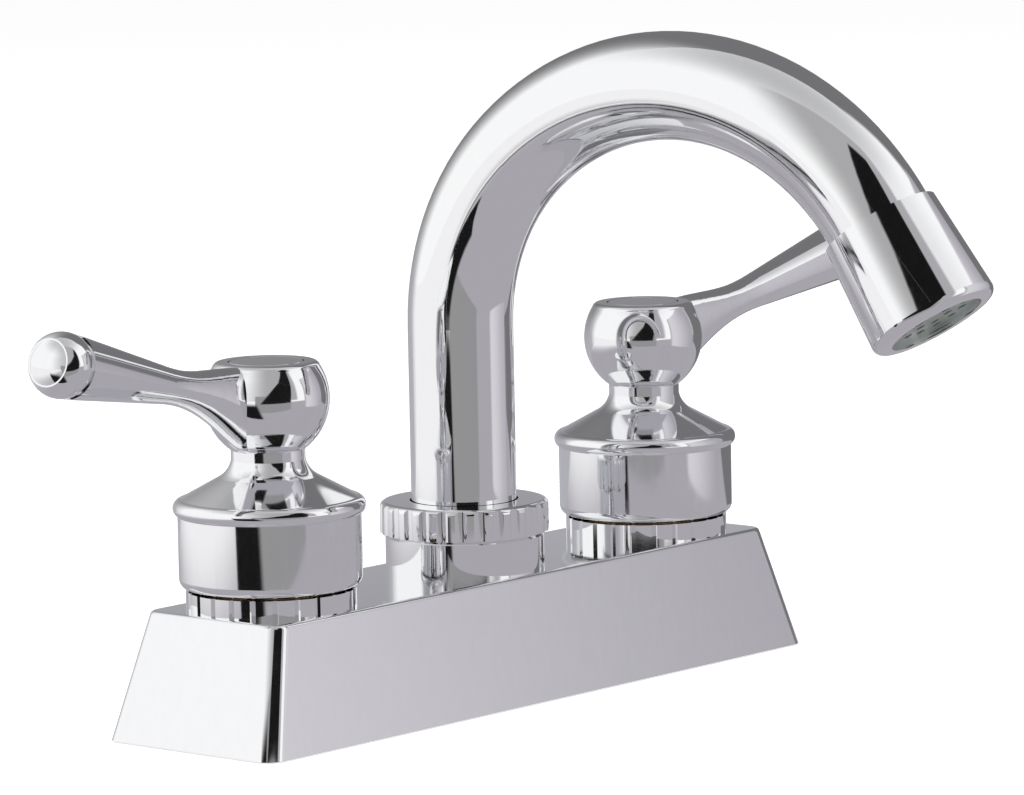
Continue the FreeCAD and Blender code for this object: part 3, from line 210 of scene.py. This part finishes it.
alumina = moulded("ground_alumina_ceramic", "#F1EEE4", "#E2DDCF", (0.18, 0.30),
                  grain_mm=1.2, relief_mm=0.01, ior=1.76)
nylon = moulded("natural_nylon", "#EDE8D8", "#DDD6C2", (0.35, 0.50),
                grain_mm=3.0, relief_mm=0.02, ior=1.53)
acetal = moulded("moulded_grey_acetal", "#8E9691", "#757D79", (0.30, 0.45),
                 grain_mm=2.5, relief_mm=0.02, ior=1.48)
rubber = moulded("black_nitrile_rubber", "#1B1B1C", "#29292A", (0.50, 0.70),
                 grain_mm=0.8, relief_mm=0.03, ior=1.52)
foam = moulded("dark_closed_cell_foam", "#3A3B3D", "#222324", (0.75, 0.92),
               grain_mm=0.8, relief_mm=0.25, ior=1.5)
print("non-metals:", [m.name for m in (alumina, nylon, acetal, rubber, foam)])

# %% [markdown]
# Each CAD node already sits in its place. It only needs its finish, so we put one material
# in each node's slots, piece by piece, in the order in which a fitter would name them.

# %% Finishes on the CAD nodes
def wear(material, *names):
    """Give these CAD nodes one finish."""
    for name in names:
        for slot in nodes[name].material_slots:
            slot.material = material


def both(name):
    """The left and the right piece of that name."""
    return f"left_{name}", f"right_{name}"


wear(cast_chrome, "base_cover", *both("handle"))
wear(turned_chrome, "spout_collar", "spout_nut", "outlet_cap", *both("cover_nut"),
     *both("handle_cap"))
wear(tube_chrome, "spout_tube")
wear(bare_brass, "spout_hub", "spout_tail", *both("valve_body"), *both("cartridge_body"),
     *both("stem"), *both("shank_nut"))
wear(copper, *both("cross_tube"))
wear(zinc_steel, *both("handle_screw"), *both("shank_washer"))
wear(alumina, *both("fixed_disc"), *both("moving_disc"))
wear(nylon, "glide_ring")
wear(acetal, "aerator_insert")
wear(rubber, "aerator_washer", "upper_spout_o_ring", "lower_spout_o_ring",
     *both("stem_o_ring"), *both("seat_seal"))
wear(foam, "base_gasket")
bare = [name for name, node in nodes.items() if not node.material_slots]
print("nodes with no material slot:", bare)

# %% [markdown]
# **Floor.** The photograph is a cut-out on white. The floor stands for the deck, so the shanks
# and their nuts lie below it and are hidden from above. It is white paint that adds a little
# light of its own for the camera only, which brings it up to white and still leaves the
# faucet's soft shadow.

# %% Floor
def stage_plane(name, centre, width, depth):
    """A level sheet of the stage, its place in its mesh."""
    half_width, half_depth = width / 2, depth / 2
    mesh = bpy.data.meshes.new(name)
    x, y, z = centre
    mesh.from_pydata([(x - half_width, y - half_depth, z), (x + half_width, y - half_depth, z),
                      (x + half_width, y + half_depth, z), (x - half_width, y + half_depth, z)],
                     [], [(0, 1, 2, 3)])
    sheet = bpy.data.objects.new(name, mesh)
    bpy.context.scene.collection.objects.link(sheet)
    return sheet


FLOOR_DROP = -0.2 * MM
FLOOR_WIDTH = 8.0
PAINT_LIFT = 0.45   # what the camera adds to the lit paint, to reach white

floor = stage_plane("floor", (0, 0, FLOOR_DROP), FLOOR_WIDTH, FLOOR_WIDTH)
floor_paint, tree = new_material("white_floor_paint")
path = add_node(tree, "ShaderNodeLightPath")
paint = add_node(tree, "ShaderNodeBsdfDiffuse", {"Color": linear("#F2F2F2")})
lift = add_node(tree, "ShaderNodeEmission", {"Strength": PAINT_LIFT})
seen = add_node(tree, "ShaderNodeMixShader", {"Fac": path.outputs["Is Camera Ray"]})
nothing = add_node(tree, "ShaderNodeEmission", {"Strength": 0.0})
tree.links.new(nothing.outputs["Emission"], seen.inputs[1])
tree.links.new(lift.outputs["Emission"], seen.inputs[2])
both_lights = add_node(tree, "ShaderNodeAddShader")
tree.links.new(paint.outputs["BSDF"], both_lights.inputs[0])
tree.links.new(seen.outputs["Shader"], both_lights.inputs[1])
finish_material(tree, both_lights.outputs["Shader"])
floor.data.materials.append(floor_paint)
floor.visible_glossy = False   # mirrors see the table cloth below instead
print("floor at mm:", round(floor.data.vertices[0].co.z / MM, 2))

# %% [markdown]
# **World.** It lights every surface evenly, at a plain level. To the camera it is pure white.
# Mirrors see the same white walls, which grow grey overhead as the roof of a tent does: that
# grey is the soft band along the top of the spout.

# %% World
WALL_TOP = 0.6   # the sine of the angle where the walls end
CEILING = 1.05   # and of the one where the full grey would be reached
PLAIN_LIGHT = 0.55

world = bpy.data.worlds.new("white_studio")
bpy.context.scene.world = world
world.use_nodes = True
tree = world.node_tree
tree.nodes.clear()
path = add_node(tree, "ShaderNodeLightPath")
seen_direct = add_node(tree, "ShaderNodeMath",
                       {0: path.outputs["Is Camera Ray"], 1: path.outputs["Is Glossy Ray"]},
                       operation="MAXIMUM")
seen_any = add_node(tree, "ShaderNodeMath",
                    {0: seen_direct.outputs["Value"], 1: path.outputs["Is Transmission Ray"]},
                    operation="MAXIMUM")
# the height of the direction looked in: 0 is level, 1 is straight up
heading = add_node(tree, "ShaderNodeTexCoord").outputs["Generated"]
climb = add_node(tree, "ShaderNodeSeparateXYZ", {"Vector": heading}).outputs["Z"]
dimming = add_node(tree, "ShaderNodeMapRange",
                   {"Value": climb, "From Min": WALL_TOP, "From Max": CEILING},
                   interpolation_type="SMOOTHSTEP")
seen_white = add_node(tree, "ShaderNodeMixRGB",
                      {"Fac": dimming.outputs["Result"], "Color1": linear("#FFFFFF"),
                       "Color2": linear("#BCBCBE")})
mirror_white = add_node(tree, "ShaderNodeMixRGB",
                        {"Fac": path.outputs["Is Camera Ray"],
                         "Color1": seen_white.outputs["Color"], "Color2": linear("#FFFFFF")})
plain = add_node(tree, "ShaderNodeBackground",
                 {"Color": linear("#FFFFFF"), "Strength": PLAIN_LIGHT})
white = add_node(tree, "ShaderNodeBackground",
                 {"Color": mirror_white.outputs["Color"], "Strength": 1.0})
sky = add_node(tree, "ShaderNodeMixShader", {"Fac": seen_any.outputs["Value"]})
tree.links.new(plain.outputs["Background"], sky.inputs[1])
tree.links.new(white.outputs["Background"], sky.inputs[2])
add_node(tree, "ShaderNodeOutputWorld", {"Surface": sky.outputs["Shader"]})
print("world:", world.name)

# %% [markdown]
# **Lamps.** Two soft boxes, one overhead and one at the left, give the floor its shadow and
# the rubber, plastic and bare metal their shape. They are hidden from mirrors, so they can't
# spoil the reflections.

# %% Lamps
def soft_lamp(name, place, aim, width, power):
    """A square soft box that only lights, since mirrors see the cards instead."""
    lamp = bpy.data.objects.new(name, bpy.data.lights.new(name, "AREA"))
    bpy.context.scene.collection.objects.link(lamp)
    lamp.data.size = width
    lamp.data.energy = power
    lamp.location = place
    lamp.rotation_euler = (Vector(aim) - Vector(place)).to_track_quat("-Z", "Y").to_euler()
    lamp.visible_glossy = False
    return lamp


soft_lamp("overhead_soft_box", (0.0, 0.0, 1.1), (0, 0, 0.03), 0.9, 5.0)
soft_lamp("left_soft_box", (-1.0, -0.1, 0.6), (0, 0, 0.05), 0.6, 3.0)

# %% [markdown]
# ** What the chrome sees.** A mirror has no colour of its own: the photographer shapes chrome
# with white walls, grey cards and black flags just outside the picture. We do the same with
# painted reflections. Each card is a sheet near the faucet that glows at its own fixed grey and
# that only mirrors can see. Its corners are written as the photographer walks: so far to the
# picture's right, so far towards the camera, and so high, in millimetres. A card may fade from
# one grey at its left to another at its right, and its edges may melt away, as a flag's do when
# it stands close to a lens that can't hold it sharp.

# %% Card helpers
towards = Vector((backwards.x, backwards.y, 0)).normalized()
rightwards = Vector((-towards.y, towards.x, 0))
CARD_CELLS = 10   # a grid, so that the shares stay true on a slanting card
CARD_SIGHTS_OFF = ("camera", "diffuse", "transmission", "volume_scatter", "shadow")
HARD = 0.001   # the narrowest soft margin, as a share of the card


def walk(right, near, high):
    """A point of the studio: to the picture's right, towards the camera, and up."""
    return (rightwards * right + towards * near + Vector((0, 0, high))) * MM


def card_mesh(name, corners):
    """A sheet between four corners, with the share across and up written on its points."""
    low_left, low_right, high_right, high_left = [walk(*corner) for corner in corners]
    steps = [k / CARD_CELLS for k in range(CARD_CELLS + 1)]
    points = [(low_left.lerp(low_right, x)).lerp(high_left.lerp(high_right, x), y)
              for y in steps for x in steps]
    row = CARD_CELLS + 1
    cells = [(y * row + x, y * row + x + 1, (y + 1) * row + x + 1, (y + 1) * row + x)
             for y in range(CARD_CELLS) for x in range(CARD_CELLS)]
    mesh = bpy.data.meshes.new(name)
    mesh.from_pydata(points, [], cells)
    across = mesh.attributes.new("across", "FLOAT", "POINT")
    upward = mesh.attributes.new("upward", "FLOAT", "POINT")
    for at in range(len(points)):
        across.data[at].value = steps[at % row]
        upward.data[at].value = steps[at // row]
    return mesh


def rise(tree, share, start, stop):
    """A smooth step from 0 to 1 between two shares of the card."""
    return add_node(tree, "ShaderNodeMapRange",
                    {"Value": share, "From Min": start, "From Max": stop},
                    interpolation_type="SMOOTHSTEP").outputs["Result"]


def card(name, corners, greys, soft=(HARD, HARD, HARD, HARD), fade=(0.0, 1.0)):
    """A card: its corners, its left and right grey, its soft margins left, right, low, high."""
    sheet = bpy.data.objects.new(name, card_mesh(name, corners))
    bpy.context.scene.collection.objects.link(sheet)
    material, tree = new_material(name + "_paper")
    across = add_node(tree, "ShaderNodeAttribute", attribute_name="across").outputs["Fac"]
    upward = add_node(tree, "ShaderNodeAttribute", attribute_name="upward").outputs["Fac"]
    grey = add_node(tree, "ShaderNodeMixRGB",
                    {"Fac": rise(tree, across, *fade), "Color1": linear(greys[0]),
                     "Color2": linear(greys[1])})
    # the card's grey is its own glow, seen only by mirrors: a painted reflection, not lamp light
    # on paper
    glow = add_node(tree, "ShaderNodeEmission", {"Color": grey.outputs["Color"], "Strength": 1.0})
    left, right, low, high = soft
    cover = rise(tree, across, 0.0, left)
    for share, start, stop in ((across, 1.0, 1.0 - right), (upward, 0.0, low),
                               (upward, 1.0, 1.0 - high)):
        cover = add_node(tree, "ShaderNodeMath", {0: cover, 1: rise(tree, share, start, stop)},
                         operation="MULTIPLY").outputs["Value"]
    clear = add_node(tree, "ShaderNodeBsdfTransparent")
    reflection_glow = add_node(tree, "ShaderNodeMixShader", {"Fac": cover})
    tree.links.new(clear.outputs["BSDF"], reflection_glow.inputs[1])
    tree.links.new(glow.outputs["Emission"], reflection_glow.inputs[2])
    finish_material(tree, reflection_glow.outputs["Shader"])
    sheet.data.materials.append(material)
    for sight in CARD_SIGHTS_OFF:
        setattr(sheet, f"visible_{sight}", False)
    return sheet


def standing(left, right, low, high, lean=(0, 0)):
    """The corners of an upright card; lean draws its top corners in, left and right."""
    return [(*left, low), (*right, low), (right[0] - lean[1], right[1], high),
            (left[0] + lean[0], left[1], high)]


print("card cells:", CARD_CELLS * CARD_CELLS)

# %% [markdown]
# The cards were found by tracing mirror rays from the dark and pale places of the photograph.
# The triangle in each head, the patch on the skirt and the stripe down the outlet are black
# openings round the lens. The base's long front looks at the right card, and fades as it does.

# %% Cards that only mirrors see
# the room in front of the faucet: a grey wall and its low foot, both short of the camera
card("front_wall_card", standing((-200, 212), (290, 212), 60, 585), ("#AEAEAE", "#AEACB0"),
     soft=(0.39, 0.13, 0.01, 0.10))
card("front_foot_card", standing((-92, 208), (155, 208), -1, 90), ("#969696", "#969497"),
     soft=(0.02, 0.10, HARD, 0.03))
# the black opening round the lens: flat below, upright at its right, slanting at its left
card("lens_low_flag", standing((-60, 168), (101, 168), 49, 150, lean=(88, -24)),
     ("#161616", "#161616"), soft=(0.06, 0.06, 0.03, HARD))
card("lens_high_flag", standing((27, 168), (126, 168), 150, 330, lean=(78, -25)),
     ("#161616", "#161616"), soft=(0.08, 0.10, HARD, 0.15))
# a low black flag left of the camera, seen in the skirts, the riser and the nut
card("low_flag", standing((-112, 140), (-34, 140), -1, 56, lean=(-16, 24)),
     ("#181818", "#181818"), soft=(0.08, 0.16, HARD, 0.25))
# a white card at the right that turns mauve towards the back
card("right_near_card", standing((242, 116), (242, 90), -1, 218), ("#AFAEB1", "#D8D6DA"))
card("right_far_card", standing((242, 90), (242, -121), -1, 218), ("#D8D6DA", "#AAA6AE"),
     soft=(HARD, 0.05, HARD, 0.05))
# behind the faucet, seen by the backs of its round parts only
card("low_back_card", standing((80, -168), (-210, -168), -1, 118), ("#B4B4BA", "#B4B4BA"),
     soft=(0.05, 0.05, HARD, 0.90))
card("back_cloth", standing((420, -170), (-390, -170), -1, 680), ("#757477", "#757577"),
     soft=(0.15, 0.49, HARD, 0.02))
# the table under it all: white at the left, mauve grey from the faucet's middle rightwards
HALF_TABLE = 1500
TABLE_TOP = -0.1
card("table_cloth", [(-HALF_TABLE, HALF_TABLE, TABLE_TOP), (HALF_TABLE, HALF_TABLE, TABLE_TOP),
                     (HALF_TABLE, -HALF_TABLE, TABLE_TOP), (-HALF_TABLE, -HALF_TABLE, TABLE_TOP)],
     ("#F8F7F8", "#ACA9AF"), fade=(0.407, 0.470))

# %% Finish
bpy.context.scene.view_settings.view_transform = "Standard"
